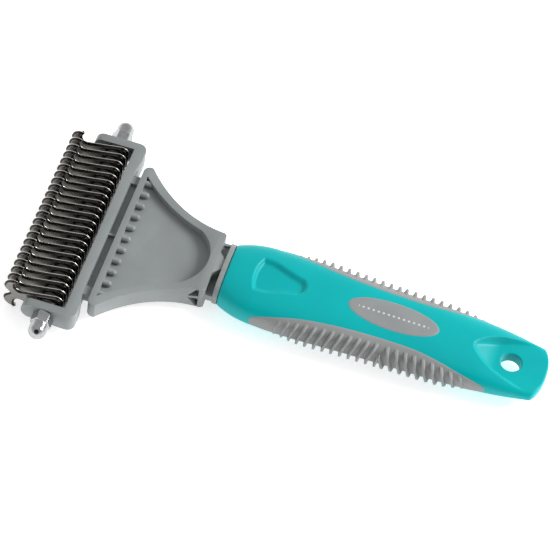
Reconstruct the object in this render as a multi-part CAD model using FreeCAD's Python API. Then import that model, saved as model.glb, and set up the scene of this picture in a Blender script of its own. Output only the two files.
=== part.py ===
import FreeCAD, Part
import math
import os
from FreeCAD import Vector

# Dematting comb: a row of hooked steel blades on a rod, in a moulded frame with a long neck and a
# two-material handle. Millimetres. +X runs from the head to the tail of the handle, +Z is up on the
# fine-toothed side, and Y = 0 and Z = 0 are the planes of symmetry. The solids are drawn from the
# rod's axis and saved from the centre of the hanging hole.

# Blade row
bladeCount = 23
bladePitch = 3.285
bladeThick = 1.4
edgeHeight = 6.0          # shoulder of the cutting edge above the rod's axis
throatHeight = 2.7        # lowest point of the cutting edge
hookHeight = 7.4          # top of the hook
hookReach = 17.0          # from the rod's axis to the outside of the hook
bladeBack = 5.2           # flat back edge, which lies along the frame and stops the blades from turning

# Rod, spacers and cap nuts (M4)
rodRadius = 1.95
holeClearance = 0.07
spacerRadius = 4.0
nutFlats = 7.0
nutHexHeight = 4.0
nutHeight = 10.0
nutDomeRadius = 3.25
nutBoreRadius = 2.0
nutBoreDepth = 6.6
nutSeatGap = 0.1
rodOverlap = 5.8          # length of thread in each nut

# Head frame
plateInner = 38.4
plateOuter = 41.6
plateHalfHeight = 4.2
plateNose = 8.8
plateCorner = 2.9         # outer back corner of the bracket, seen in plan
wallFront = 6.6
wallBack = 10.1           # behind the middle of the row; the wall's ends are a little thicker
wallEndBack = 11.0
webEnd = 28.5             # the web that joins the bracket to the neck stops short of the neck's corners
webHalf = 2.0
grooveHalf = 24.7
grooveRib = 0.5
grooveFloor = 0.5         # half the thickness left between the grooves
floorHalf = 1.0           # half the thickness of the floor in the grooves and in the neck's panel
neckCorner = 33.2
neckFront = 12.9
neckHalf = 3.6            # half the neck's thickness at the front
neckBackHalf = 6.0
neckBack = 50.8
neckBackWidth = 13.0
rimWidth = 3.0
frontRimWidth = 2.2
pegCount = 11
pegPitch = 5.31
pegRadius = 1.15
pegRise = 2.05
pegEnd = 17.3
collarFront = 53.6

# Handle: station along X, half width and half thickness
handleFront = 55.4
handleStations = [
    (55.4, 12.4, 6.4),
    (58.0, 13.5, 6.8),
    (61.5, 14.8, 7.1),
    (66.0, 15.8, 7.3),
    (74.0, 16.2, 7.3),
    (86.0, 16.2, 7.2),
    (102.0, 15.4, 7.1),
    (120.0, 14.8, 7.0),
    (140.0, 14.4, 6.7),
    (156.0, 13.6, 5.8),
    (167.0, 12.7, 4.3),
    (177.0, 11.2, 2.8),
]
sectionPower = 2.8        # exponent of the rounded section
tailEnd = 176.3
tailRadius = 23.0
gripLine = [(64.0, 16.9), (70.0, 15.8), (76.0, 14.7), (87.0, 12.3), (100.0, 10.6), (117.0, 9.75),
            (130.0, 10.0),
            (138.0, 11.1), (147.0, 12.6), (154.0, 13.35), (160.0, 13.7)]
thumbDepth = 1.4
badgeX = 118.0
badgeLength = 34.8
badgeWidth = 12.5
badgeDepth = 1.2
scoopFront = 147.6
scoopSpread = 6.4         # the scoop's edge is a parabola: half width squared over distance from its end
scoopSlope = 9.0
hangX = 162.8
hangRadius = 3.8
hangWall = 5.0
tangLength = 30.0


def outline(start, steps):
    """A closed wire in the plane Z = 0: each step is a point, or a middle and an end point of an arc."""
    edges = []
    here = Vector(*start)
    for step in steps:
        end = Vector(*step[-2:])
        if len(step) == 4:
            edges.append(Part.Arc(here, Vector(*step[:2]), end).toShape())
        else:
            edges.append(Part.LineSegment(here, end).toShape())
        here = end
    return Part.Wire(edges)


def prism(wire, low, high):
    """The wire's face, raised from Z = low to Z = high."""
    solid = Part.Face(wire).extrude(Vector(0, 0, high - low))
    solid.translate(Vector(0, 0, low))
    return solid


def box(low, high):
    size = [b - a for a, b in zip(low, high)]
    return Part.makeBox(*size, Vector(*low))


def rodCylinder(radius, low, high):
    """A cylinder on the rod's axis from Y = low to Y = high."""
    return Part.makeCylinder(radius, high - low, Vector(0, low, 0), Vector(0, 1, 0))


def bothFaces(solid):
    """The solid and its mirror image on the other face of the comb."""
    return solid.fuse(solid.mirror(Vector(0, 0, 0), Vector(0, 0, 1)))


def save(name, solid):
    placed = solid.removeSplitter()
    placed.translate(Vector(-hangX, 0, 0))
    if not placed.isValid() or not placed.isClosed():
        print(name, "is not a closed valid solid")
    print(name, len(placed.Solids), "solid(s)", round(placed.Volume, 2), "mm3")
    placed.exportStep("parts/" + name + ".step")


def bladeProfile(isDouble):
    """A blade's outline in X and Z, drawn in the plane Z = 0: the hooked edge, then the other edge."""
    steps = [
        (bladeBack, 4.0),
        (4.3, edgeHeight - 0.6, 2.2, edgeHeight),
        (-10.6, throatHeight),
        (-12.3, throatHeight + 0.5, -12.9, throatHeight + 2.0),
        (-12.7, hookHeight - 1.0, -12.1, hookHeight - 0.1),
        (-14.8, hookHeight, -16.8, hookHeight - 2.5),
        (-hookReach, 3.0, -15.9, 1.2),
    ]
    if isDouble:
        steps.append((-14.7, 0.0))
        steps.append((-15.9, -1.2))
        steps.append((-hookReach, -3.0, -16.8, 2.5 - hookHeight))
        steps.append((-14.8, -hookHeight, -12.1, 0.1 - hookHeight))
        steps.append((-12.7, 1.0 - hookHeight, -12.9, -throatHeight - 2.0))
        steps.append((-12.3, -throatHeight - 0.5, -10.6, -throatHeight))
        steps.append((2.2, -edgeHeight))
        steps.append((4.3, 0.6 - edgeHeight, bladeBack, -4.0))
    else:
        steps.append((-14.6, -1.4, -12.2, -2.3))
        steps.append((2.2, -3.7))
        steps.append((4.4, -3.4, bladeBack, -2.4))
    start = (bladeBack, steps[-1][-1])
    return outline(start, steps)


def blade(index):
    """Blades count from the left. Every second one has hooks on both edges."""
    middle = (index - (bladeCount + 1) / 2) * bladePitch
    solid = prism(bladeProfile(index % 2 == 1), -bladeThick / 2, bladeThick / 2)
    solid.rotate(Vector(0, 0, 0), Vector(1, 0, 0), 90)
    solid.translate(Vector(0, middle, 0))
    return solid.cut(rodCylinder(rodRadius + holeClearance, middle - bladeThick, middle + bladeThick))


def spacer(index):
    """Spacer 1 is between the left plate and blade 1, and each other spacer follows a blade."""
    low = (index - 1 - (bladeCount + 1) / 2) * bladePitch + bladeThick / 2
    high = low + bladePitch - bladeThick
    if index == 1:
        low = -plateInner
    if index == bladeCount + 1:
        high = plateInner
    return rodCylinder(spacerRadius, low, high).cut(rodCylinder(rodRadius + holeClearance, low, high))


def throughRod():
    reach = plateOuter + nutSeatGap + rodOverlap
    rod = rodCylinder(rodRadius, -reach, reach)
    return rod.makeChamfer(0.4, rod.Edges)


def capNut(side):
    """A hexagon, a short neck and a dome, with a blind bore. side is -1 on the left, 1 on the right."""
    corner = nutFlats / math.sqrt(3)
    turns = [math.radians(60 * k + 20) for k in range(7)]
    hexWire = Part.makePolygon([Vector(corner * math.cos(a), corner * math.sin(a), 0) for a in turns])
    solid = prism(hexWire, 0, nutHexHeight)
    chamferCone = Part.makeCone(corner + nutHexHeight * 1.7, corner - 0.5, nutHexHeight)
    solid = solid.common(chamferCone)
    domeCentre = nutHeight - nutDomeRadius
    solid = solid.fuse(Part.makeCylinder(nutDomeRadius, domeCentre))
    solid = solid.fuse(Part.makeSphere(nutDomeRadius, Vector(0, 0, domeCentre)))
    solid = solid.cut(Part.makeCylinder(nutBoreRadius, nutBoreDepth))
    solid.rotate(Vector(0, 0, 0), Vector(1, 0, 0), -90 * side)
    solid.translate(Vector(0, side * (plateOuter + nutSeatGap), 0))
    return solid


def bracketSide():
    """The bracket seen from the side: full height at the wall, lower and rounded at the plates' noses."""
    low = plateHalfHeight - 0.4
    nose = outline((16, -plateHalfHeight), [
        (16, plateHalfHeight),
        (wallFront, plateHalfHeight),
        (2.6 - plateNose, low - 0.2),
        (0.7 - plateNose, low - 1.6, -plateNose, 0.0),
        (0.7 - plateNose, 1.6 - low, 2.6 - plateNose, 0.2 - low),
        (wallFront, -plateHalfHeight),
        (16, -plateHalfHeight),
    ])
    solid = prism(nose, -plateOuter - 1, plateOuter + 1)
    solid.rotate(Vector(0, 0, 0), Vector(1, 0, 0), 90)
    return solid


def bracket():
    """The bracket's plan, one outline round end plates and wall, cut to its side view."""
    turn = plateCorner * (1 - math.sqrt(0.5))
    plan = outline((-12, plateInner), [
        (wallFront, plateInner),
        (wallFront, -plateInner),
        (-12, -plateInner),
        (-12, -plateOuter),
        (wallEndBack - plateCorner, -plateOuter),
        (wallEndBack - turn, turn - plateOuter, wallEndBack, plateCorner - plateOuter),
        (wallEndBack, -34.0),
        (wallBack, -29.5),
        (wallBack, 29.5),
        (wallEndBack, 34.0),
        (wallEndBack, plateOuter - plateCorner),
        (wallEndBack - turn, plateOuter - turn, wallEndBack - plateCorner, plateOuter),
        (-12, plateOuter),
        (-12, plateInner),
    ])
    solid = prism(plan, -9, 9).common(bracketSide())
    return solid.cut(rodCylinder(rodRadius + holeClearance, -50, 50))


def web():
    """The web between the bracket and the neck, with a long groove in each face and a rib half way."""
    solid = box((wallBack - 0.5, -webEnd, -webHalf), (neckFront + 0.8, webEnd, webHalf))
    for side in (-1, 1):
        low = min(side * grooveRib, side * grooveHalf)
        high = max(side * grooveRib, side * grooveHalf)
        solid = solid.cut(bothFaces(box((wallBack, low, grooveFloor), (neckFront, high, 9))))
    return solid


def neckPlan(inset):
    """The flared panel's outline, moved inwards by inset, with its concave sides as arcs."""
    front = neckFront + frontRimWidth * (inset > 0)
    corner = neckCorner - 1.46 * inset
    if inset > 0:
        return outline((front, corner), [
            (28.2 - 0.5 * inset, 22.0 - 0.87 * inset, 41.5, 15.3 - inset),
            (47.9, 0.0, 41.5, inset - 15.3),
            (28.2 - 0.5 * inset, 0.87 * inset - 22.0, front, -corner),
            (front, corner),
        ])
    return outline((front, corner - 2.6), [
        (front + 0.9, corner - 0.6, front + 3.2, corner - 0.2),
        (28.2, 22.0, neckBack - 0.9, neckBackWidth + 0.3),
        (neckBack, neckBackWidth - 0.6),
        (neckBack, 0.6 - neckBackWidth),
        (neckBack - 0.9, -neckBackWidth - 0.3),
        (28.2, -22.0, front + 3.2, 0.2 - corner),
        (front + 0.9, 0.6 - corner, front, 2.6 - corner),
        (front, corner - 2.6),
    ])


def neckSide():
    """The neck's profile seen from the side: thin in front, thicker towards the collar, swept across Y."""
    wire = outline((neckFront - 1, -neckHalf), [
        (26.0, -neckHalf),
        (40.0, -neckHalf - 0.7, neckBack, -neckBackHalf),
        (neckBack, neckBackHalf),
        (40.0, neckHalf + 0.7, 26.0, neckHalf),
        (neckFront - 1, neckHalf),
        (neckFront - 1, -neckHalf),
    ])
    solid = prism(wire, -40, 40)
    solid.rotate(Vector(0, 0, 0), Vector(1, 0, 0), 90)
    return solid


def pegs():
    """The row of short rounded pegs along the front of the recess."""
    row = []
    for k in range(pegCount):
        y = (k - (pegCount - 1) / 2) * pegPitch
        peg = Part.makeCylinder(pegRadius, pegEnd - 14.6, Vector(14.6, y, pegRise), Vector(1, 0, 0))
        peg = peg.fuse(Part.makeSphere(pegRadius, Vector(pegEnd, y, pegRise)))
        row.append(peg)
    return row[0].multiFuse(row[1:])


def neck():
    solid = prism(neckPlan(0), -9, 9).common(neckSide())
    recess = prism(neckPlan(rimWidth), floorHalf, 9)
    solid = solid.cut(bothFaces(recess))
    return solid.fuse(bothFaces(pegs()))


def collar():
    """The thin flange at the handle, the short core behind the panel, and the ribs between the openings."""
    flange = Part.Face(handleSection(*handleStations[0])).extrude(Vector(collarFront - handleFront, 0, 0))
    core = box((neckBack - 0.5, -11.3, -0.6), (collarFront + 0.3, 11.3, 0.6))
    middle = prism(outline((neckBack - 0.5, 5.6), [
        (collarFront + 0.3, 1.6),
        (collarFront + 0.3, -1.6),
        (neckBack - 0.5, -5.6),
        (neckBack - 0.5, 5.6),
    ]), -5.6, 5.6)
    sides = box((neckBack - 0.5, 11.2, -1.4), (collarFront + 0.3, 12.3, 1.4))
    sides = sides.fuse(sides.mirror(Vector(0, 0, 0), Vector(0, 1, 0)))
    return flange.fuse([core, middle, sides])


def tang():
    """The tongue that holds the handle on the frame."""
    return box((handleFront - 0.5, -7.0, -2.4), (handleFront + tangLength, 7.0, 2.4))


def flankPocket(side):
    """The three-cornered pockets in each flank of the neck, just before the collar."""
    corners = [(45.0, 0.6), (48.8, 0.6), (48.8, 4.9), (48.0, 4.9), (45.0, 0.6)]
    wire = Part.makePolygon([Vector(x, 0, z) for x, z in corners])
    pocket = Part.Face(wire).extrude(Vector(0, 5.0, 0))
    pocket.translate(Vector(0, 11.6, 0))
    pocket = bothFaces(pocket)
    if side < 0:
        pocket = pocket.mirror(Vector(0, 0, 0), Vector(0, 1, 0))
    return pocket


def headFrame():
    solid = bracket().fuse([web(), neck(), collar(), tang()])
    for side in (-1, 1):
        solid = solid.cut(flankPocket(side))
    return solid


def handleSection(x, halfWidth, halfHeight):
    """A closed curve across the handle: |y / halfWidth|^n + |z / halfHeight|^n = 1, n = sectionPower."""
    points = []
    count = 32
    for k in range(count):
        angle = 2 * math.pi * (k + 0.5) / count
        c = math.cos(angle)
        s = math.sin(angle)
        y = halfWidth * math.copysign(abs(c) ** (2 / sectionPower), c)
        z = halfHeight * math.copysign(abs(s) ** (2 / sectionPower), s)
        points.append(Vector(x, y, z))
    curve = Part.BSplineCurve()
    curve.interpolate(points, PeriodicFlag=True)
    return Part.Wire(curve.toShape())


def handleBlank():
    """The whole handle, both materials together, with its tail cut to a shallow arc."""
    blank = Part.makeLoft([handleSection(*station) for station in handleStations], True)
    centre = tailEnd - tailRadius
    tail = Part.makeCylinder(tailRadius, 40, Vector(centre, 0, -20))
    return blank.common(tail.fuse(box((0, -30, -20), (centre, 30, 20))))


def gripBand():
    """The zone between the two grips, bounded by one curve on each side."""
    curves = []
    for side in (1, -1):
        curve = Part.BSplineCurve()
        curve.interpolate([Vector(x, side * y, 0) for x, y in gripLine])
        curves.append(curve.toShape())
    first, last = gripLine[0], gripLine[-1]
    ends = [
        Part.makePolygon([Vector(last[0], last[1], 0), Vector(190, last[1], 0), Vector(190, -last[1], 0),
                          Vector(last[0], -last[1], 0)]),
        Part.makePolygon([Vector(first[0], first[1], 0), Vector(50, first[1], 0), Vector(50, -first[1], 0),
                          Vector(first[0], -first[1], 0)]),
    ]
    edges = [curves[0], *ends[0].Edges, curves[1], *ends[1].Edges]
    return prism(Part.Wire(Part.__sortEdges__(edges)), -20, 20)


def thumbRecess():
    """A shield-shaped hollow, wide towards the head and rounded towards the tail."""
    plan = outline((67.0, 8.0), [
        (71.0, 7.7),
        (77.0, 5.7),
        (82.0, 4.2),
        (85.4, 0.0, 82.0, -4.2),
        (77.0, -5.7),
        (71.0, -7.7),
        (67.0, -8.0),
        (64.9, 0.0, 67.0, 8.0),
    ])
    return bothFaces(prism(plan, 7.2 - thumbDepth, 9))


def badgeZone(low, high):
    """The badge's oval between two heights."""
    ellipse = Part.Ellipse(Vector(badgeX, 0, 0), badgeLength / 2, badgeWidth / 2)
    return prism(Part.Wire(ellipse.toShape()), low, high)


def scoop():
    """The tongue-shaped hollow around the hanging hole, open at the tail, with a sloping closed end."""
    edge = Part.BSplineCurve()
    edge.interpolate([Vector(scoopFront + y * y / scoopSpread, y, 0) for y in range(-15, 16, 3)])
    chord = Part.LineSegment(edge.EndPoint, edge.StartPoint)
    plan = Part.Wire([edge.toShape(), chord.toShape()])
    slope = outline((scoopFront, 6.4), [
        (scoopFront + scoopSlope, hangWall / 2),
        (190, hangWall / 2),
        (190, 10),
        (scoopFront, 10),
        (scoopFront, 6.4),
    ])
    wedge = prism(slope, -20, 20)
    wedge.rotate(Vector(0, 0, 0), Vector(1, 0, 0), 90)
    return bothFaces(prism(plan, 0, 12).common(wedge))


def handleParts():
    """The hard core, the two soft grips and the two badges, which meet face to face."""
    blank = handleBlank()
    band = gripBand()
    badges = bothFaces(badgeZone(7.05 - badgeDepth, 9))
    core = blank.common(band).cut([tang(), thumbRecess(), scoop(), badges])
    core = core.cut(Part.makeCylinder(hangRadius, 30, Vector(hangX, 0, -15)))
    grip = min(blank.cut(band).Solids, key=lambda solid: solid.CenterOfMass.y)
    badge = blank.common(badgeZone(7.05 - badgeDepth, 9))
    return {
        "handle_core": core,
        "grip_strip_left": grip,
        "grip_strip_right": grip.mirror(Vector(0, 0, 0), Vector(0, 1, 0)),
        "badge_top": badge,
        "badge_bottom": badge.mirror(Vector(0, 0, 0), Vector(0, 0, 1)),
    }


def main():
    os.makedirs("parts", exist_ok=True)
    for index in range(1, bladeCount + 1):
        save("blade_%02d" % index, blade(index))
    for index in range(1, bladeCount + 2):
        save("spacer_%02d" % index, spacer(index))
    save("through_rod", throughRod())
    save("cap_nut_left", capNut(-1))
    save("cap_nut_right", capNut(1))
    save("head_frame", headFrame())
    for name, solid in handleParts().items():
        save(name, solid)


main()
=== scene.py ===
import math
import bmesh
import bpy
import numpy as np
from mathutils import Matrix, Vector
from mathutils.geometry import tessellate_polygon


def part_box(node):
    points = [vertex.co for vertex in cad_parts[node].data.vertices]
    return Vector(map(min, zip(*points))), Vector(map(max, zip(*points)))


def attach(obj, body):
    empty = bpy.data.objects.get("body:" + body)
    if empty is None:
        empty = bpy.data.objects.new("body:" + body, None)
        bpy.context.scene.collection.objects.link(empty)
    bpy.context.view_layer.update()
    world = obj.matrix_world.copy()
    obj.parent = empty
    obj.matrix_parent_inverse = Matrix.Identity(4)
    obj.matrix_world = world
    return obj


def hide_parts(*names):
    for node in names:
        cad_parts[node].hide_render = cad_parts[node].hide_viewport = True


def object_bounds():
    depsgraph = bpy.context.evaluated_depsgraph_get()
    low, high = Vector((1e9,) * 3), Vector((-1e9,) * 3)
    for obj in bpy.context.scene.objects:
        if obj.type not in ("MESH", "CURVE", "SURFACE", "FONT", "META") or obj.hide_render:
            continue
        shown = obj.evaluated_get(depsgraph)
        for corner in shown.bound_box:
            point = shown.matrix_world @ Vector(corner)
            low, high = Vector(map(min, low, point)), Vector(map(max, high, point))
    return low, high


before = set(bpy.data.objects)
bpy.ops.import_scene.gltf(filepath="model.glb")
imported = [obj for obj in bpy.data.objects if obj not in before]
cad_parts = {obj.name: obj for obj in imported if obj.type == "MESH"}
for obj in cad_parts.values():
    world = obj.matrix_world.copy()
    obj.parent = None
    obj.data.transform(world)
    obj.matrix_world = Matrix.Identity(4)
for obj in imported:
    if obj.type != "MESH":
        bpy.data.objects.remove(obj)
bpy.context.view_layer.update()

mm = 0.001
# Every place below is measured from the rod's axis, in millimetres: x to the tail, y across, z up out of the fine face.
rodLow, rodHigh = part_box("through_rod")
rodX = (rodLow.x + rodHigh.x) / 2


def toRow(points):
    # rod-axis millimetres to row-frame metres
    return np.asarray(points, float) * mm + np.array([rodX, 0.0, 0.0])


def meshPiece(name, points, faces, smooth=True, sharpAngle=35.0):
    # points in rod-axis millimetres, faces as lists of indices; doubles merged, normals made to point out
    mesh = bpy.data.meshes.new(name)
    mesh.from_pydata(toRow(points).tolist(), [], [list(f) for f in faces])
    bm = bmesh.new()
    bm.from_mesh(mesh)
    bmesh.ops.remove_doubles(bm, verts=bm.verts, dist=2e-6)
    bmesh.ops.dissolve_degenerate(bm, edges=bm.edges, dist=1e-7)
    bmesh.ops.recalc_face_normals(bm, faces=bm.faces)
    bm.to_mesh(mesh)
    bm.free()
    piece = bpy.data.objects.new(name, mesh)
    bpy.context.scene.collection.objects.link(piece)
    if smooth:
        mesh.polygons.foreach_set("use_smooth", np.ones(len(mesh.polygons), bool))
        mesh.set_sharp_from_angle(angle=math.radians(sharpAngle))
    return piece


def gridFaces(rows, columns, closeRows=False, closeColumns=True, first=0):
    # quads of a rows x columns grid of points, joined round where asked
    r = np.arange(rows if closeRows else rows - 1)
    c = np.arange(columns if closeColumns else columns - 1)
    r, c = [a.ravel() for a in np.meshgrid(r, c, indexing="ij")]
    nextR = (r + 1) % rows
    nextC = (c + 1) % columns
    quads = np.stack([r * columns + c, nextR * columns + c, nextR * columns + nextC, r * columns + nextC], 1)
    return (quads + first).tolist()


def smoothStep(t):
    t = np.clip(t, 0.0, 1.0)
    return t * t * (3.0 - 2.0 * t)


def smoothThrough(x, knots, values):
    # a cubic curve through the knots with the slopes of the parabola through each three neighbours
    knots = np.asarray(knots, float)
    values = np.asarray(values, float)
    slopes = np.gradient(values, knots)
    i = np.clip(np.searchsorted(knots, x) - 1, 0, len(knots) - 2)
    h = knots[i + 1] - knots[i]
    t = (x - knots[i]) / h
    t2, t3 = t * t, t * t * t
    return ((2 * t3 - 3 * t2 + 1) * values[i] + (t3 - 2 * t2 + t) * h * slopes[i]
            + (3 * t2 - 2 * t3) * values[i + 1] + (t3 - t2) * h * slopes[i + 1])


def signedPower(v, power):
    return np.sign(v) * np.abs(v) ** power


def finish(piece, body, slot, material, *nodes):
    piece.data.materials.clear()
    piece.data.materials.append(material)
    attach(piece, body)
    if nodes:
        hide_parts(*nodes)
    return piece


def linear(hexColour):
    # sRGB hex to linear RGBA
    channels = [int(hexColour[i:i + 2], 16) / 255 for i in (1, 3, 5)]
    return [c / 12.92 if c <= 0.04045 else ((c + 0.055) / 1.055) ** 2.4 for c in channels] + [1.0]


def addNode(owner, kind, settings=None, inputs=None, stops=(), **values):
    # one node in a material or world: settings are its attributes; inputs, by name or number, take a socket or a
    # value; values are inputs by name with _ for a space; stops are a ramp's places with an sRGB hex or a grey level
    node = owner.node_tree.nodes.new(kind)
    for key, value in (settings or {}).items():
        setattr(node, key, value)
    for key, value in values.items():
        node.inputs[key.replace("_", " ")].default_value = value
    for key, value in (inputs or {}).items():
        if isinstance(value, bpy.types.NodeSocket):
            owner.node_tree.links.new(value, node.inputs[key])
        else:
            node.inputs[key].default_value = value
    for k, (place, colour) in enumerate(stops):
        element = node.color_ramp.elements[k]
        element.position = place
        element.color = linear(colour) if isinstance(colour, str) else (colour, colour, colour, 1.0)
    return node


def newMaterial(name, **values):
    # a material with its Principled shader; values are socket names with _ for a space
    material = bpy.data.materials.new(name)
    material.use_nodes = True
    shader = material.node_tree.nodes["Principled BSDF"]
    for key, value in values.items():
        shader.inputs[key.replace("_", " ")].default_value = value
    return material, shader


def connect(owner, socket, target):
    owner.node_tree.links.new(socket, target)


def mouldedPlastic(name, settings):
    # injection-moulded plastic: even colour, faint flow clouding, and the fine grain of a spark-eroded mould
    material, shader = newMaterial(name, Roughness=settings["roughness"], IOR=settings["ior"],
                                   Specular_IOR_Level=settings["shine"])
    place = addNode(material, "ShaderNodeTexCoord").outputs["Object"]
    cloud = addNode(material, "ShaderNodeTexNoise", inputs={"Vector": place}, Scale=1 / (settings["cloudMm"] * mm),
                    Detail=3.0, Roughness=0.5)
    colour = addNode(material, "ShaderNodeValToRGB", inputs={"Fac": cloud.outputs["Fac"]},
                     stops=[(0.3, settings["dark"]), (0.7, settings["light"])])
    connect(material, colour.outputs["Color"], shader.inputs["Base Color"])
    grain = addNode(material, "ShaderNodeTexNoise", inputs={"Vector": place}, Scale=1 / (settings["grainMm"] * mm),
                    Detail=2.0, Roughness=0.6)
    rough = addNode(material, "ShaderNodeValToRGB", inputs={"Fac": grain.outputs["Fac"]},
                    stops=[(0.2, settings["roughness"] - 0.05), (0.8, settings["roughness"] + 0.06)])
    connect(material, rough.outputs["Color"], shader.inputs["Roughness"])
    bump = addNode(material, "ShaderNodeBump", inputs={"Height": grain.outputs["Fac"]},
                   Strength=settings["grainStrength"], Distance=settings["grainDepthMm"] * mm)
    connect(material, bump.outputs["Normal"], shader.inputs["Normal"])
    return material


tealAbs = mouldedPlastic("moulded teal ABS, satin", {
    "dark": "#00a6a9", "light": "#00aeb0", "roughness": 0.36, "ior": 1.53, "shine": 0.16,
    "cloudMm": 22.0, "grainMm": 0.35, "grainStrength": 0.10, "grainDepthMm": 0.05})
greyAbs = mouldedPlastic("moulded grey ABS, spark-eroded", {
    "dark": "#858a8a", "light": "#8f9494", "roughness": 0.46, "ior": 1.53, "shine": 0.4,
    "cloudMm": 15.0, "grainMm": 0.30, "grainStrength": 0.20, "grainDepthMm": 0.06})
greyRubber = mouldedPlastic("moulded grey TPR grip", {
    "dark": "#8c8e8e", "light": "#969898", "roughness": 0.62, "ior": 1.50, "shine": 0.35,
    "cloudMm": 12.0, "grainMm": 0.30, "grainStrength": 0.25, "grainDepthMm": 0.08})
badgeAbs = mouldedPlastic("moulded grey badge", {
    "dark": "#888b8c", "light": "#909394", "roughness": 0.42, "ior": 1.53, "shine": 0.35,
    "cloudMm": 10.0, "grainMm": 0.30, "grainStrength": 0.12, "grainDepthMm": 0.05})


dotSet = {"originX": 162.8, "middleX": 117.9, "halfSpacing": 0.95, "outer": 0.50, "inner": 0.38, "halfRow": 13.2,
          "colour": "#c9cccd"}


def printDots(material, shader):
    # a row of small pale pad-printed dots along the badge, in millimetres from the object's origin
    s = dotSet
    place = addNode(material, "ShaderNodeTexCoord").outputs["Object"]
    split = addNode(material, "ShaderNodeSeparateXYZ", inputs={"Vector": place})
    middle = addNode(material, "ShaderNodeMath", {"operation": "ADD"},
                     {0: split.outputs["X"], 1: (s["originX"] - s["middleX"]) * mm})
    wrapped = addNode(material, "ShaderNodeMath", {"operation": "WRAP"},
                      {0: middle.outputs[0], 1: s["halfSpacing"] * mm, 2: -s["halfSpacing"] * mm})
    spot = addNode(material, "ShaderNodeCombineXYZ", inputs={"X": wrapped.outputs[0], "Y": split.outputs["Y"]})
    away = addNode(material, "ShaderNodeVectorMath", {"operation": "LENGTH"}, {0: spot.outputs[0]})
    dot = addNode(material, "ShaderNodeMapRange", inputs={"Value": away.outputs["Value"]},
                  From_Min=s["outer"] * mm, From_Max=s["inner"] * mm)
    far = addNode(material, "ShaderNodeMath", {"operation": "ABSOLUTE"}, {0: middle.outputs[0]})
    inRow = addNode(material, "ShaderNodeMath", {"operation": "LESS_THAN"}, {0: far.outputs[0], 1: s["halfRow"] * mm})
    mask = addNode(material, "ShaderNodeMath", {"operation": "MULTIPLY"}, {0: dot.outputs[0], 1: inRow.outputs[0]})
    plain = shader.inputs["Base Color"].links[0].from_socket
    mix = addNode(material, "ShaderNodeMix", {"data_type": "RGBA"},
                  {0: mask.outputs[0], 6: plain, 7: linear(s["colour"])})
    connect(material, mix.outputs[2], shader.inputs["Base Color"])


printDots(badgeAbs, badgeAbs.node_tree.nodes["Principled BSDF"])


def bladeSteelMaterial():
    # stamped stainless strip: dark rolled faces with lengthwise rolling lines, a painted dark reflection on the ground
    # bevels and a painted highlight along each edge
    material, shader = newMaterial("stamped stainless, ground edges", Metallic=1.0)
    place = addNode(material, "ShaderNodeTexCoord").outputs["Object"]
    ground = addNode(material, "ShaderNodeAttribute", {"attribute_name": "ground"}).outputs["Fac"]
    stretch = addNode(material, "ShaderNodeMapping", inputs={"Vector": place}, Scale=(200.0, 900.0, 3300.0))
    lines = addNode(material, "ShaderNodeTexNoise", inputs={"Vector": stretch.outputs["Vector"]}, Scale=1.0, Detail=4.0)
    face = addNode(material, "ShaderNodeValToRGB", inputs={"Fac": lines.outputs["Fac"]},
                   stops=[(0.3, "#7c7a76"), (0.7, "#93918d")])
    # the pale colour here is a painted highlight, laid along each blade's edge
    edge = addNode(material, "ShaderNodeValToRGB", inputs={"Fac": lines.outputs["Fac"]},
                   stops=[(0.3, "#c8c6c2"), (0.7, "#e6e5e2")])
    paintedHighlightMask = addNode(material, "ShaderNodeMapRange", {"interpolation_type": "SMOOTHSTEP"}, {"Value": ground},
                     From_Min=0.75, From_Max=0.98)
    # the near-black laid on the ground bevels below is a painted dark reflection
    paintedDarkReflectionMask = addNode(material, "ShaderNodeMapRange", {"interpolation_type": "SMOOTHSTEP"}, {"Value": ground},
                    From_Min=0.02, From_Max=0.14)
    sides = addNode(material, "ShaderNodeMix", {"data_type": "RGBA"},
                    {0: paintedDarkReflectionMask.outputs["Result"], 6: face.outputs["Color"], 7: linear("#35322f")})
    whole = addNode(material, "ShaderNodeMix", {"data_type": "RGBA"},
                    {0: paintedHighlightMask.outputs["Result"], 6: sides.outputs[2], 7: edge.outputs["Color"]})
    connect(material, whole.outputs[2], shader.inputs["Base Color"])
    rough = addNode(material, "ShaderNodeValToRGB", inputs={"Fac": lines.outputs["Fac"]},
                    stops=[(0.2, 0.20), (0.8, 0.34)])
    connect(material, rough.outputs["Color"], shader.inputs["Roughness"])
    return material


def plainMetal(name, colour, roughness, scratchMm, spread=0.06):
    # plated or turned steel: a clean metal whose gloss wavers over the surface
    material, shader = newMaterial(name, Metallic=1.0)
    place = addNode(material, "ShaderNodeTexCoord").outputs["Object"]
    noise = addNode(material, "ShaderNodeTexNoise", inputs={"Vector": place}, Scale=1 / (scratchMm * mm), Detail=4.0)
    light, dark = colour
    tone = addNode(material, "ShaderNodeValToRGB", inputs={"Fac": noise.outputs["Fac"]},
                   stops=[(0.3, dark), (0.7, light)])
    connect(material, tone.outputs["Color"], shader.inputs["Base Color"])
    rough = addNode(material, "ShaderNodeValToRGB", inputs={"Fac": noise.outputs["Fac"]},
                    stops=[(0.3, roughness), (0.7, roughness + spread)])
    connect(material, rough.outputs["Color"], shader.inputs["Roughness"])
    return material


bladeSteel = bladeSteelMaterial()
chromePlate = plainMetal("chrome-plated steel", ("#b4b5b6", "#a2a3a4"), 0.09, 1.5, 0.05)
turnedSteel = plainMetal("turned steel, oiled", ("#4a4a4a", "#3a3a3a"), 0.32, 0.6)
zincRod = plainMetal("rolled thread, zinc-plated steel", ("#a8aaab", "#8f9192"), 0.28, 0.8)
print("materials made")


bladeSet = {"count": 23, "pitch": 3.285, "thick": 1.4, "back": 5.2, "edge": 6.0, "throat": 2.7, "hook": 7.4,
            "reach": 17.0, "bore": 2.02, "edgeHalf": 0.10, "bevelHalf": 0.22, "bevelIn": 0.16,
            "grindIn": 0.9, "step": 0.28, "boreSegments": 48}


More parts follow.
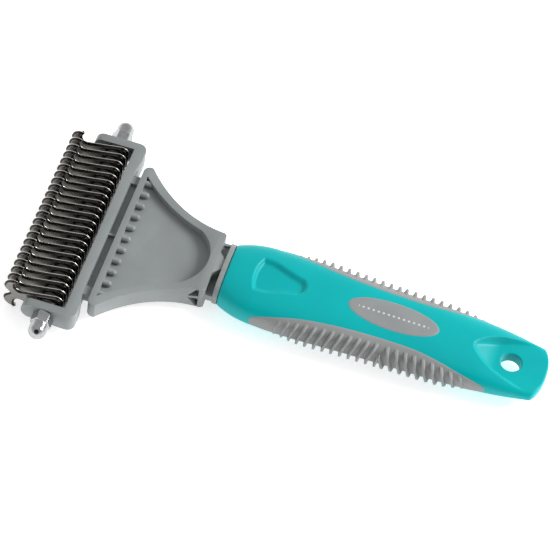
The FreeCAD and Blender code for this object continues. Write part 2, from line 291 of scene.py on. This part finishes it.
def arcThrough(a, b, c, step):
    # points of the circle through a, b and c, from a up to but not c
    a, b, c = [complex(*p) for p in (a, b, c)]
    w = (c - a) / (b - a)
    centre = (b - a) * (w - abs(w) ** 2) / (2j * w.imag) + a
    radius = abs(a - centre)
    start = math.atan2((a - centre).imag, (a - centre).real)
    sweep = math.atan2((c - centre).imag, (c - centre).real) - start
    middle = (math.atan2((b - centre).imag, (b - centre).real) - start) % (2 * math.pi)
    sweep %= 2 * math.pi
    if middle > sweep:
        sweep -= 2 * math.pi
    count = max(3, int(abs(sweep) * radius / step))
    angles = start + sweep * np.arange(count) / count
    return np.stack([centre.real + radius * np.cos(angles), centre.imag + radius * np.sin(angles)], 1)


def lineTo(a, b, step):
    count = max(1, int(math.dist(a, b) / step))
    t = np.arange(count)[:, None] / count
    return np.array(a) * (1 - t) + np.array(b) * t


def bladeOutline(double):
    # closed outline in x and z: flat back, round shoulder, sloping edge, throat, hook, then the other edge
    s = bladeSet
    edge, throat, hook, reach = s["edge"], s["throat"], s["hook"], s["reach"]
    steps = [[(s["back"], 4.0)], [(4.3, edge - 0.6), (2.2, edge)], [(-10.6, throat)],
             [(-12.3, throat + 0.5), (-12.9, throat + 2.0)], [(-12.7, hook - 1.0), (-12.1, hook - 0.1)],
             [(-14.8, hook), (-16.8, hook - 2.5)], [(-reach, 3.0), (-15.9, 1.2)]]
    if double:
        steps += [[(-14.7, 0.0)], [(-15.9, -1.2)], [(-reach, -3.0), (-16.8, 2.5 - hook)],
                  [(-14.8, -hook), (-12.1, 0.1 - hook)], [(-12.7, 1.0 - hook), (-12.9, -throat - 2.0)],
                  [(-12.3, -throat - 0.5), (-10.6, -throat)], [(2.2, -edge)], [(4.3, 0.6 - edge), (s["back"], -4.0)]]
    else:
        steps += [[(-14.6, -1.4), (-12.2, -2.3)], [(2.2, -3.7)], [(4.4, -3.4), (s["back"], -2.4)]]
    here = steps[-1][-1]
    points = []
    for step in steps:
        if len(step) == 1:
            points.append(lineTo(here, step[0], s["step"]))
        else:
            points.append(arcThrough(here, step[0], step[1], s["step"]))
        here = step[-1]
    return np.concatenate(points)


def inward(outline, distance):
    # each point moved in along the mean normal of its two sides
    ahead = np.roll(outline, -1, 0) - outline
    behind = outline - np.roll(outline, 1, 0)
    tangent = ahead / np.linalg.norm(ahead, axis=1)[:, None] + behind / np.linalg.norm(behind, axis=1)[:, None]
    tangent /= np.maximum(np.linalg.norm(tangent, axis=1), 1e-9)[:, None]
    normal = np.stack([-tangent[:, 1], tangent[:, 0]], 1)
    area = 0.5 * np.sum(outline[:, 0] * np.roll(outline[:, 1], -1) - np.roll(outline[:, 0], -1) * outline[:, 1])
    return outline + normal * distance * np.sign(area)


def bladePiece(index):
    # the outline at six depths: a narrow edge, a rounded shoulder, and a grind down to each flat face
    s = bladeSet
    y0 = (index - (s["count"] + 1) / 2) * s["pitch"]
    outline = bladeOutline(index % 2 == 1)
    half = s["thick"] / 2
    ground, shoulder = inward(outline, s["grindIn"]), inward(outline, s["bevelIn"])
    angles = np.linspace(0, 2 * math.pi, s["boreSegments"], endpoint=False)
    bore = np.stack([s["bore"] * np.cos(angles), s["bore"] * np.sin(angles)], 1)
    rings = [(ground, -half), (shoulder, -s["bevelHalf"]), (outline, -s["edgeHalf"]), (outline, s["edgeHalf"]),
             (shoulder, s["bevelHalf"]), (ground, half), (bore, half), (bore, -half)]
    points = np.concatenate([np.stack([ring[:, 0], np.full(len(ring), y0 + y), ring[:, 1]], 1) for ring, y in rings])
    n, m = len(outline), len(bore)
    faces = gridFaces(6, n)
    faces += gridFaces(2, m, first=6 * n)
    loops = [[Vector((p[0], p[1], 0)) for p in ground], [Vector((p[0], p[1], 0)) for p in bore]]
    cap = np.array(tessellate_polygon(loops))
    top = np.where(cap < n, cap + 5 * n, cap - n + 6 * n)
    bottom = np.where(cap < n, cap, cap - n + 6 * n + m)
    faces += top.tolist() + bottom[:, ::-1].tolist()
    piece = meshPiece("blade_%02d_ground" % index, points, faces, sharpAngle=25.0)
    co = np.zeros(len(piece.data.vertices) * 3)
    piece.data.vertices.foreach_get("co", co)
    depth = np.abs(co.reshape(-1, 3)[:, 1] / mm - y0)
    # ground share: 1 on the edge, 0.5 at the shoulder, 0 on the flat faces; the material paints its highlight on the
    # edge and its dark reflection on the grind from it
    ground = piece.data.attributes.new("ground", "FLOAT", "POINT")
    shares = np.interp(depth, [s["edgeHalf"], s["bevelHalf"], half], [1, 0.5, 0])
    ground.data.foreach_set("value", shares.astype(np.float32))
    return piece


for index in range(1, bladeSet["count"] + 1):
    finish(bladePiece(index), "comb", "blade_steel", bladeSteel, "blade_%02d" % index)
print("blades made")


def lathe(name, profile, segments=64):
    # profile as (y, radius) pairs turned about the rod's axis; the profile closes on itself or ends at radius 0
    profile = np.array(profile, float)
    angles = np.linspace(0, 2 * math.pi, segments, endpoint=False)
    y = np.repeat(profile[:, 0][:, None], segments, 1)
    points = np.stack([profile[:, 1][:, None] * np.cos(angles), y, profile[:, 1][:, None] * np.sin(angles)], -1)
    return meshPiece(name, points.reshape(-1, 3), gridFaces(len(profile), segments, closeRows=profile[0, 1] > 0))


spacerSet = {"outer": 4.0, "bore": 2.02, "edge": 0.2, "segments": 48}


def spacerPiece(index):
    low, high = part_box("spacer_%02d" % index)
    a, b = low.y / mm, high.y / mm
    outer, inner, edge = spacerSet["outer"], spacerSet["bore"], spacerSet["edge"]
    return lathe("spacer_%02d_turned" % index, [(a, inner), (a, outer - edge), (a + edge, outer), (b - edge, outer),
                                                (b, outer - edge), (b, inner)], spacerSet["segments"])


for index in range(1, bladeSet["count"] + 2):
    finish(spacerPiece(index), "comb", "spacer_steel", turnedSteel, "spacer_%02d" % index)


rodSet = {"radius": 1.95, "pitch": 0.7, "thread": 7.0, "depth": 0.22, "segments": 48, "threadRows": 121,
          "plainReach": 38.0, "plainRows": 20, "fade": 0.8, "taper": 0.5, "taperDepth": 0.35}


def rodPiece():
    # plain shank with a rolled thread on both ends: the radius follows a rounded wave along the helix
    s = rodSet
    reach, segments = rodHigh.y / mm, s["segments"]
    y = np.concatenate([np.linspace(-reach, -reach + s["thread"], s["threadRows"]),
                        np.linspace(-s["plainReach"], s["plainReach"], s["plainRows"]),
                        np.linspace(reach - s["thread"], reach, s["threadRows"])])
    angles = np.linspace(0, 2 * math.pi, segments, endpoint=False)
    yy, aa = np.meshgrid(y, angles, indexing="ij")
    wave = 0.5 - 0.5 * np.cos(2 * math.pi * yy / s["pitch"] - aa)
    fade = smoothStep((np.abs(yy) - (reach - s["thread"])) / s["fade"])
    taper = smoothStep((reach - np.abs(yy)) / s["taper"])
    r = s["radius"] - s["depth"] * wave * fade - s["taperDepth"] * (1 - taper)
    points = np.stack([r * np.cos(aa), yy, r * np.sin(aa)], -1).reshape(-1, 3)
    ends = np.array([[0, -reach, 0], [0, reach, 0]], float)
    count = len(y)
    ring = np.arange(segments)
    faces = gridFaces(count, segments)
    last = (count - 1) * segments
    faces += np.stack([ring, (ring + 1) % segments, np.full(segments, count * segments)], 1).tolist()
    faces += np.stack([last + ring, last + (ring + 1) % segments,
                       np.full(segments, count * segments + 1)], 1).tolist()
    return meshPiece("through_rod_threaded", np.concatenate([points, ends]), faces, sharpAngle=60.0)


finish(rodPiece(), "rod", "rod_steel", zincRod, "through_rod")

nutSet = {"flats": 7.0, "hexHeight": 4.0, "height": 10.0, "dome": 3.25, "bore": 2.0, "boreDepth": 6.6,
          "seat": 41.7, "turn": 20.0, "segments": 144, "cornerRound": 0.12, "cornerSoft": 0.05,
          "topChamfer": 0.5, "topSlope": 1.7, "seatChamfer": 0.25, "seatSlope": 1.5}


def nutPiece(name, side):
    # radius over height and angle: the smaller of the hexagon and a chamfer cone, then a short neck and a dome
    s = nutSet
    corner = s["flats"] / math.sqrt(3)
    domeBase = s["height"] - s["dome"]
    up = np.linspace(0, math.pi / 2, 20)
    heights = np.concatenate([np.linspace(0, 0.35, 5), np.linspace(0.5, s["hexHeight"] - 0.9, 8),
                              np.linspace(s["hexHeight"] - 0.85, s["hexHeight"], 12)])
    a = np.linspace(0, 2 * math.pi, s["segments"], endpoint=False)
    hh, aa = np.meshgrid(heights, a, indexing="ij")
    toFlat = (aa + math.pi / 6) % (math.pi / 3) - math.pi / 6
    hexagon = s["flats"] / 2 / np.cos(toFlat)
    widest, soft = corner - s["cornerRound"], s["cornerSoft"]
    hexagon = widest - np.log1p(np.exp((widest - hexagon) / soft)) * soft
    topCone = corner - s["topChamfer"] + (s["hexHeight"] - hh) * s["topSlope"]
    seatCone = corner - s["seatChamfer"] + hh * s["seatSlope"]
    radius = np.minimum(np.minimum(hexagon, topCone), seatCone)
    low = np.stack([radius, hh], -1)
    neckHeights = np.array([s["hexHeight"], s["hexHeight"] + 0.12, s["hexHeight"] + 0.35])
    neckRadii = np.array([s["dome"] + 0.30, s["dome"] + 0.10, s["dome"]])
    domeHeights = domeBase + s["dome"] * np.sin(up)
    domeRadii = s["dome"] * np.cos(up)
    roundHeights = np.concatenate([neckHeights, np.linspace(s["hexHeight"] + 0.6, domeBase - 0.1, 6), domeHeights])
    roundRadii = np.concatenate([neckRadii, np.full(6, s["dome"]), domeRadii])
    high = np.repeat(np.stack([roundRadii, roundHeights], -1)[:, None], s["segments"], 1)
    boreHeights = np.array([0.0, 0.35, s["boreDepth"] - 0.5, s["boreDepth"]])[::-1]
    boreRadii = np.array([s["bore"] + 0.35, s["bore"], s["bore"], 0.0])[::-1]
    hollow = np.repeat(np.stack([boreRadii, boreHeights], -1)[:, None], s["segments"], 1)
    shell = np.concatenate([hollow, low, high])
    angles = a + math.radians(s["turn"])
    points = np.stack([shell[..., 0] * np.cos(angles), side * (s["seat"] + shell[..., 1]),
                       shell[..., 0] * np.sin(angles)], -1)
    return meshPiece(name, points.reshape(-1, 3), gridFaces(len(shell), s["segments"]), sharpAngle=28.0)


finish(nutPiece("cap_nut_left_chromed", -1), "left_nut", "nut_chrome", chromePlate, "cap_nut_left")
finish(nutPiece("cap_nut_right_chromed", 1), "rod", "nut_chrome", chromePlate, "cap_nut_right")
print("spacers, rod and nuts made")


handleSet = {
    "x": [55.4, 58.0, 61.5, 66.0, 74.0, 86.0, 102.0, 120.0, 140.0, 156.0, 167.0, 177.0],
    "halfWidth": [12.4, 13.5, 14.8, 15.8, 16.2, 16.2, 15.4, 14.8, 14.4, 13.6, 12.7, 11.2],
    "halfHeight": [6.4, 6.8, 7.1, 7.3, 7.3, 7.2, 7.1, 7.0, 6.7, 5.8, 4.3, 2.8],
    "power": 2.8, "tailEnd": 176.3, "tailRadius": 23.0, "frontRound": 0.8, "tailRound": 0.9,
    "rows": 330, "columns": 232,
    "thumbX": [64.9, 67.0, 71.0, 77.0, 82.0], "thumbHalf": [8.2, 8.0, 7.7, 5.7, 4.2], "thumbBow": 0.031,
    "thumbRoundX": 81.1, "thumbRound": 4.3, "headWall": 1.7, "sideWall": 2.6, "tailWall": 2.2, "thumbFloor": 5.8,
    "scoopFront": 147.6, "scoopEarly": 0.5, "scoopSpread": 6.4, "scoopSlope": 9.0, "slopeRise": 3.9,
    "slopeEarly": 3.5, "slopeLonger": 5.0, "sideIn": 2.8, "sideCurve": 0.42, "soft": 0.16, "floor": 2.5,
    "arcFrom": 150.0, "arcReach": 20.0, "closing": [0.66, 0.33, 0.0],
    "hangX": 162.8, "hangRadius": 3.8, "hangRound": 0.5, "patch": 5.6}


def handleHalves(x):
    s = handleSet
    return smoothThrough(x, s["x"], s["halfWidth"]), smoothThrough(x, s["x"], s["halfHeight"])


def sectionPoint(halfWidth, halfHeight, angle):
    # superellipse |y / w|^n + |z / h|^n = 1
    power = 2 / handleSet["power"]
    return halfWidth * signedPower(np.cos(angle), power), halfHeight * signedPower(np.sin(angle), power)


def thumbDepth(x, y):
    # 0 outside the shield-shaped recess and 1 on its floor, by the distance inwards from its nearest wall
    s = handleSet
    half = smoothThrough(np.clip(x, s["thumbX"][0], s["thumbX"][-1]), s["thumbX"], s["thumbHalf"])
    side = half - np.abs(y)
    head = x - (s["thumbX"][0] + s["thumbBow"] * y * y)
    tail = s["thumbRound"] - np.hypot(np.maximum(x - s["thumbRoundX"], 0), y)
    tail = np.where(x > s["thumbRoundX"], tail, np.inf)
    inside = np.minimum(head / s["headWall"], np.minimum(side / s["sideWall"], tail / s["tailWall"]))
    return smoothStep(inside)


def scoopFloor(x, y):
    # height of the hollow round the hanging hole: down a slope from the crown, flat, and up again at its sides,
    # which stand on a parabola that opens towards the tail
    s = handleSet
    along = x - s["scoopFront"]
    down = smoothStep((along + s["slopeEarly"]) / (s["scoopSlope"] + s["slopeLonger"]))
    slope = s["floor"] + s["slopeRise"] * (1 - down)
    half = np.sqrt(s["scoopSpread"] * np.maximum(along, 0.001))
    outside = np.maximum(np.abs(y) - half + s["sideIn"], 0)
    return slope + s["sideCurve"] * outside ** 2


def filletLoss(distance, radius):
    # how far a rounded end has drawn in at that distance from it
    d = np.clip(radius - distance, 0, radius)
    return radius - np.sqrt(np.maximum(radius ** 2 - d ** 2, 0))


def handleSurface(rows, columns):
    # x from the collar to the tail's arc, angle round the section; both faces are hollowed alike
    s = handleSet
    t = np.linspace(0, 1, rows)
    front, tail = s["x"][0], s["tailEnd"]
    x = front + (tail - front) * t
    angle = 2 * math.pi * (np.arange(columns) + 0.5) / columns
    xx, aa = np.meshgrid(x, angle, indexing="ij")
    w, h = handleHalves(xx)
    # rounded ends: the section shrinks by the fillet over the last stretch
    cut = filletLoss(xx - front, s["frontRound"]) + filletLoss(tail - xx, s["tailRound"])
    y, z = sectionPoint(w - cut, h - cut, aa)
    face = np.abs(z)
    dish = thumbDepth(xx, y)
    face = face - dish * np.maximum(face - s["thumbFloor"], 0)
    hollow = scoopFloor(xx, y)
    soft = s["soft"]
    lower = face - soft * np.log1p(np.exp(np.clip((face - hollow) / soft, -40, 40)))
    face = np.where(xx > s["scoopFront"] - s["scoopEarly"], lower, face)
    z = np.sign(z) * face
    # the tail ends on an arc in plan
    arc = s["tailRadius"] - np.sqrt(s["tailRadius"] ** 2 - np.clip(y, -s["arcReach"], s["arcReach"]) ** 2)
    xx = xx - arc * smoothStep((xx - s["arcFrom"]) / (tail - s["arcFrom"]))
    return np.stack([xx, y, z], -1)


def handleCorePiece():
    s = handleSet
    surface = handleSurface(s["rows"], s["columns"])
    rows, columns = surface.shape[:2]
    points = surface.reshape(-1, 3)
    faces = np.array(gridFaces(rows, columns))
    # both ends close by flattening the last ring on to the middle plane
    extra, extraFaces, count = [], [], len(points)
    for end in (0, rows - 1):
        ring = surface[end]
        extra += [ring * [1, 1, scale] for scale in s["closing"]]
        last = end * columns + np.arange(columns)
        for _ in s["closing"]:
            here = count + np.arange(columns)
            extraFaces += np.stack([last, np.roll(last, -1), np.roll(here, -1), here], 1).tolist()
            last = here
            count += columns
    # the square of faces round the hanging hole makes way for rings from its border to the hole
    centreX, patch = s["hangX"], s["patch"]
    rowsIn = np.where(np.abs(surface[:, columns // 4, 0] - centreX) < patch)[0]
    topColumns = np.where((np.abs(surface[rowsIn[0], :, 1]) < patch) & (surface[rowsIn[0], :, 2] > 0))[0]
    i0, i1, j0, j1 = rowsIn[0], rowsIn[-1], topColumns[0], topColumns[-1]
    quads = faces[:, 0]
    r, c = quads // columns, quads % columns
    inTop = (r >= i0) & (r < i1) & (c >= j0) & (c < j1)
    low0, low1 = columns - 1 - j1, columns - 1 - j0
    inLow = (r >= i0) & (r < i1) & (c >= low0) & (c < low1)
    faces = faces[~(inTop | inLow)].tolist()
    border = [(i, j0) for i in range(i0, i1)] + [(i1, j) for j in range(j0, j1)]
    border += [(i, j1) for i in range(i1, i0, -1)] + [(i0, j) for j in range(j1, j0, -1)]
    top = np.array([surface[i, j] for i, j in border])
    a = np.arctan2(top[:, 1], top[:, 0] - centreX)
    radius, edge, floor = s["hangRadius"], s["hangRound"], s["floor"]
    circle = lambda rr, zz: np.stack([centreX + rr * np.cos(a), rr * np.sin(a), np.full(len(a), zz)], 1)
    outer = circle(radius + edge, floor)
    rings = [top * (1 - k) + outer * k for k in (0, 0.25, 0.5, 0.75, 1.0)]
    for k in np.linspace(0, 1, 7)[1:]:
        turn = k * math.pi / 2
        rings.append(circle(radius + edge * (1 - math.sin(turn)), floor - edge * (1 - math.cos(turn))))
    rings.append(circle(radius, floor / 3))
    rings += [ring * [1, 1, -1] for ring in rings[::-1]]
    holePoints = np.concatenate(rings)
    holeFaces = gridFaces(len(rings), len(a), first=count)
    allPoints = np.concatenate([points] + extra + [holePoints])
    return meshPiece("handle_core_moulded", allPoints, faces + extraFaces + holeFaces, sharpAngle=50.0)


finish(handleCorePiece(), "comb", "handle_plastic", tealAbs, "handle_core")

gripSet = {
    "lineX": [64.0, 70.0, 76.0, 87.0, 100.0, 117.0, 130.0, 138.0, 147.0, 154.0, 160.0],
    "lineY": [16.9, 15.8, 14.7, 12.3, 10.6, 9.75, 10.0, 11.1, 12.6, 13.35, 13.7],
    "proud": 0.14, "edge": 0.5, "thick": 1.3, "apex": 117.4,
    "frontRib": 118.6, "frontPitch": 3.24, "rearRib": 116.2, "rearPitch": 3.33,
    "ribHeight": 1.65, "ribHalf": 0.56, "ribSoft": 0.38, "rows": 900, "columns": 70, "backColumns": 8,
    "searchX": (64.5, 159.9), "sink": 0.45, "rollOver": 0.75, "leanHalf": 4.6, "leanFrom": 66, "leanOver": 24,
    "frontLean": (2.3, 0.6), "rearLean": (2.6, 0.5), "riseFrom": 73, "riseOver": 17, "fallTo": 154, "fallOver": 15,
    "marginAt": 0.76, "marginOver": 0.42, "marginPower": 0.7}


def gripPiece(name, side):
    # x along the handle, v over the side from the upper edge to the lower one; ribs are raised along the normal
    s = gripSet
    line = lambda x: smoothThrough(x, s["lineX"], s["lineY"])
    x = np.linspace(*s["searchX"], 2000)
    w, h = handleHalves(x)
    inside = x[line(x) < w - 0.02]
    x = np.linspace(inside[0], inside[-1], s["rows"])

    def skin(columns):
        v = np.linspace(0, math.pi, columns)
        across = np.cos(v)
        across = across * (0.8 + 0.2 * across ** 2)
        xx, uu = np.meshgrid(x, across, indexing="ij")
        w, h = handleHalves(xx)
        start = np.arccos(np.clip(line(xx) / w, 0, 1) ** (handleSet["power"] / 2))
        y, z = sectionPoint(w, h, start * uu)
        p = handleSet["power"]
        ny = signedPower(y / w, p - 1) / w
        nz = signedPower(z / h, p - 1) / h
        length = np.hypot(ny, nz)
        return xx, uu, start * h, y, z, ny / length, nz / length

    xx, uu, reach, y, z, ny, nz = skin(s["columns"])
    # the edges roll over on to the hard plastic
    roll = np.clip((1 - np.abs(uu)) * reach * s["rollOver"] / s["edge"], 0, 1)
    lift = -s["sink"] + (s["sink"] + s["proud"]) * np.sqrt(np.clip(1 - (1 - roll) ** 2, 0, 1))
    # two families of ribs, which lean apart down the side from the middle of the grip
    turn = np.clip((s["leanHalf"] + side * z) / s["leanHalf"], 0, 2)
    frontShift = s["frontLean"][0] * turn - s["frontLean"][1] * turn ** 2
    frontShift = smoothStep((xx - s["leanFrom"]) / s["leanOver"]) * frontShift
    rearShift = s["rearLean"][0] * turn - s["rearLean"][1] * turn ** 2
    isFront = xx < s["apex"]
    front = (xx - s["frontRib"] + frontShift) / s["frontPitch"]
    rear = (xx - s["rearRib"] - rearShift) / s["rearPitch"]
    off = np.where(isFront, np.abs(front - np.round(front)) * s["frontPitch"],
                   np.abs(rear - np.round(rear)) * s["rearPitch"])
    rib = smoothStep((s["ribHalf"] + s["ribSoft"] / 2 - off) / s["ribSoft"])
    rise = smoothStep((xx - s["riseFrom"]) / s["riseOver"]) * smoothStep((s["fallTo"] - xx) / s["fallOver"])
    margin = smoothStep((s["marginAt"] - np.abs(uu)) / s["marginOver"]) ** s["marginPower"]
    lift = lift + s["ribHeight"] * rib * rise * margin
    outer = np.stack([xx, side * (y + ny * lift), z + nz * lift], -1)
    xx, uu, reach, y, z, ny, nz = skin(s["backColumns"])
    inner = np.stack([xx, side * (y - ny * s["thick"]), z - nz * s["thick"]], -1)
    points = np.concatenate([outer, inner[:, ::-1]], 1)
    rows, columns = points.shape[:2]
    ends = [points[0].mean(0), points[-1].mean(0)]
    faces = gridFaces(rows, columns)
    ring = np.arange(columns)
    count = rows * columns
    faces += np.stack([ring, np.roll(ring, -1), np.full(columns, count)], 1).tolist()
    last = ring + (rows - 1) * columns
    faces += np.stack([last, np.roll(last, -1), np.full(columns, count + 1)], 1).tolist()
    return meshPiece(name, np.concatenate([points.reshape(-1, 3), ends]), faces, sharpAngle=60.0)


finish(gripPiece("grip_strip_left_ribbed", -1), "comb", "grip_rubber", greyRubber, "grip_strip_left")
finish(gripPiece("grip_strip_right_ribbed", 1), "comb", "grip_rubber", greyRubber, "grip_strip_right")

badgeSet = {"x": 117.9, "halfLength": 17.4, "halfWidth": 6.2, "proud": 0.12, "edge": 0.45, "rollDepth": 0.4,
            "depth": 1.0}


def badgePiece(name, face):
    # rings of ellipses from the middle out, laid on the handle's crown, with a rolled edge and a flat back
    s = badgeSet
    shares = np.concatenate([np.linspace(0.0, 0.9, 12), 1 - s["edge"] / s["halfWidth"] * np.linspace(1, 0, 8)])
    angle = np.linspace(0, 2 * math.pi, 160, endpoint=False)
    ss, aa = np.meshgrid(shares, angle, indexing="ij")
    x = s["x"] + s["halfLength"] * ss * np.cos(aa)
    y = s["halfWidth"] * ss * np.sin(aa)
    w, h = handleHalves(x)
    crown = h * (1 - (np.abs(y) / w) ** handleSet["power"]) ** (1 / handleSet["power"])
    roll = np.clip((1 - ss) * s["halfWidth"] / s["edge"], 0, 1)
    z = crown + s["proud"] - s["rollDepth"] * (1 - np.sqrt(1 - (1 - roll) ** 2))
    top = np.stack([x, y, z], -1)
    back = top[::-1] * [1, 1, 0] + [0, 0, 1] * (crown[::-1, :, None] - s["depth"])
    points = np.concatenate([top, back]) * [1, 1, face]
    faces = gridFaces(len(points), len(angle), closeRows=True)
    return meshPiece(name, points.reshape(-1, 3), faces, sharpAngle=50.0)


finish(badgePiece("badge_top_inlay", 1), "comb", "badge_plastic", badgeAbs, "badge_top")
finish(badgePiece("badge_bottom_inlay", -1), "comb", "badge_plastic", badgeAbs, "badge_bottom")
print("handle made")


frameSet = {"merge": 1e-6, "flatAngle": 1.0, "radius": 0.45, "segments": 3, "hardAngle": 30}


def framePiece():
    # the designed frame with its flat faces joined up and every hard edge given a moulded radius
    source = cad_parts["head_frame"]
    mesh = source.data.copy()
    mesh.name = "head_frame_moulded"
    bm = bmesh.new()
    bm.from_mesh(mesh)
    bmesh.ops.remove_doubles(bm, verts=bm.verts, dist=frameSet["merge"])
    bmesh.ops.dissolve_limit(bm, angle_limit=math.radians(frameSet["flatAngle"]), verts=bm.verts, edges=bm.edges)
    bm.to_mesh(mesh)
    bm.free()
    piece = bpy.data.objects.new("head_frame_moulded", mesh)
    bpy.context.scene.collection.objects.link(piece)
    mesh.polygons.foreach_set("use_smooth", np.ones(len(mesh.polygons), bool))
    bevel = piece.modifiers.new("moulded radius", "BEVEL")
    bevel.width = frameSet["radius"] * mm
    bevel.segments = frameSet["segments"]
    bevel.limit_method = "ANGLE"
    bevel.angle_limit = math.radians(frameSet["hardAngle"])
    bevel.harden_normals = True
    return piece


finish(framePiece(), "comb", "frame_plastic", greyAbs, "head_frame")
print("frame made")


# metres here: the painted shadow under the head, a box where the floor's glow is left out, is given as its middle and
# half size, from the rod in x and from the middle plane in y
floorSet = {"size": 6.0, "drop": 0.0002, "glow": 0.62, "paintedShadowSoft": 0.003,
            "patch": (("X", rodX + 0.0005, 0.0085), ("Y", 0.003, 0.041))}
tentSet = {"height": [(0.05, 1.35), (0.55, 0.62)], "front": (0.05, -0.78, 0.62), "opening": [(0.80, 1), (0.88, 0.06)],
           "strength": 0.95}
keySet = {"place": (0.95, 0.42, 0.80), "size": 0.6, "power": 17.0}


def addFloor():
    s = floorSet
    low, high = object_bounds()
    floorMesh = bpy.data.meshes.new("floor")
    size, drop = s["size"], low[2] - s["drop"]
    floorMesh.from_pydata([(-size, -size, drop), (size, -size, drop), (size, size, drop), (-size, size, drop)], [],
                          [(0, 1, 2, 3)])
    floor = bpy.data.objects.new("floor", floorMesh)
    bpy.context.scene.collection.objects.link(floor)
    pale, shader = newMaterial("pale floor", Roughness=0.9)
    shader.inputs["Base Color"].default_value = (0.9, 0.9, 0.9, 1)
    shader.inputs["Emission Color"].default_value = (1, 1, 1, 1)
    # the floor glows like a light table, except in a box close under the head, where the glow is left out as a painted
    # shadow and only the lamps' own shading of the floor shows
    place = addNode(pale, "ShaderNodeTexCoord").outputs["Object"]
    split = addNode(pale, "ShaderNodeSeparateXYZ", inputs={"Vector": place})
    masks = []
    for axis, middle, half in s["patch"]:
        shift = addNode(pale, "ShaderNodeMath", {"operation": "SUBTRACT"}, {0: split.outputs[axis], 1: middle})
        away = addNode(pale, "ShaderNodeMath", {"operation": "ABSOLUTE"}, {0: shift.outputs[0]})
        masks.append(addNode(pale, "ShaderNodeMapRange", inputs={"Value": away.outputs[0]},
                             From_Min=half, From_Max=half - s["paintedShadowSoft"]))
    # the box of the painted shadow: 1 inside it, fading to 0 at its soft border
    paintedShadowMask = addNode(pale, "ShaderNodeMath", {"operation": "MULTIPLY"},
                    {0: masks[0].outputs[0], 1: masks[1].outputs[0]})
    glow = addNode(pale, "ShaderNodeMapRange", inputs={"Value": paintedShadowMask.outputs[0]}, To_Min=s["glow"], To_Max=0.0)
    connect(pale, glow.outputs[0], shader.inputs["Emission Strength"])
    floor.data.materials.append(pale)


def addTent():
    # a bright tent, brightest round its foot, with a dark opening above the front that shows in the metal
    s = tentSet
    world = bpy.data.worlds.new("studio")
    bpy.context.scene.world = world
    world.use_nodes = True
    direction = addNode(world, "ShaderNodeTexCoord").outputs["Generated"]
    split = addNode(world, "ShaderNodeSeparateXYZ", inputs={"Vector": direction})
    height = addNode(world, "ShaderNodeValToRGB", inputs={"Fac": split.outputs["Z"]}, stops=s["height"])
    front = addNode(world, "ShaderNodeVectorMath", {"operation": "DOT_PRODUCT"}, {0: direction, 1: s["front"]})
    opening = addNode(world, "ShaderNodeValToRGB", inputs={"Fac": front.outputs["Value"]}, stops=s["opening"])
    tent = addNode(world, "ShaderNodeMix", {"data_type": "RGBA", "blend_type": "MULTIPLY"},
                   {0: 1, 6: height.outputs["Color"], 7: opening.outputs["Color"]})
    background = world.node_tree.nodes["Background"]
    connect(world, tent.outputs[2], background.inputs["Color"])
    background.inputs["Strength"].default_value = s["strength"]


def addKey():
    s = keySet
    data = bpy.data.lights.new("key", "AREA")
    data.size = s["size"]
    data.energy = s["power"]
    lamp = bpy.data.objects.new("key", data)
    bpy.context.scene.collection.objects.link(lamp)
    aim = Vector((rodX / 2, 0, 0))
    lamp.location = Vector(s["place"]) + aim
    lamp.rotation_euler = (aim - lamp.location).to_track_quat("-Z", "Y").to_euler()


cameraSet = {"place": (167.15, -655.26, 920.25), "aim": (71.78, 6.50, 0.0), "roll": 11.19, "lens": 205.2}


def addCamera():
    s = cameraSet
    place = Vector(toRow(s["place"]).tolist())
    aim = Vector(toRow(s["aim"]).tolist())
    back = (place - aim).normalized()
    right = Vector((0, 0, 1)).cross(back).normalized()
    up = back.cross(right)
    roll = math.radians(s["roll"])
    turnedRight = right * math.cos(roll) + up * math.sin(roll)
    turnedUp = up * math.cos(roll) - right * math.sin(roll)
    data = bpy.data.cameras.new("camera")
    data.lens = s["lens"]
    data.sensor_width = 36.0
    camera = bpy.data.objects.new("camera", data)
    bpy.context.scene.collection.objects.link(camera)
    camera.matrix_world = Matrix((
        (turnedRight.x, turnedUp.x, back.x, place.x),
        (turnedRight.y, turnedUp.y, back.y, place.y),
        (turnedRight.z, turnedUp.z, back.z, place.z),
        (0, 0, 0, 1)))
    bpy.context.scene.camera = camera


addFloor()
addTent()
addKey()
addCamera()
bpy.context.scene.view_settings.view_transform = "Standard"
print("stage, lights and camera set")
